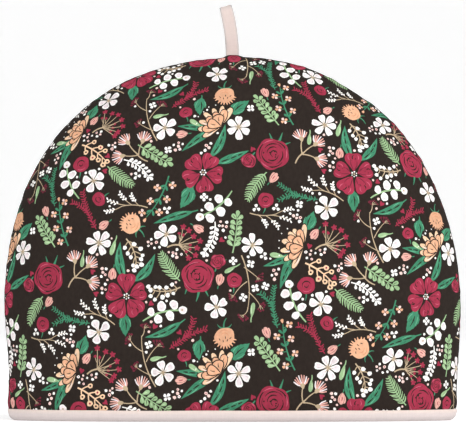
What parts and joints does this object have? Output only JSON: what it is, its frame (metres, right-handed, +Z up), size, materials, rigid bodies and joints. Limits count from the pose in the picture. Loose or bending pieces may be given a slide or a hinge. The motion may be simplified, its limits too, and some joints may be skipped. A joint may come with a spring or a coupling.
{
  "type": "tea cosy",
  "caption": "Arched padded tea cosy of dark flowered cotton, open at its bound hem, with a short hanging loop of folded tape at the crown.",
  "frame": {"origin": "the middle of the hem, on the surface that the cosy stands on", "axes": "+X across the front, to the right as seen from the front; -Y out of the front panel; +Z up to the loop"},
  "size_m": [0.3497, 0.1242, 0.3175],
  "materials": {
    "printed_cotton": "matt plain-weave cotton, near-black ground with a dense flower print",
    "pink_tape": "matt folded cotton tape, very pale pink"
  },
  "bodies": {
    "root": {"front_panel": "printed_cotton", "back_panel": "printed_cotton", "hem_binding": "pink_tape", "hanging_loop": "pink_tape"}
  },
  "joints": []
}
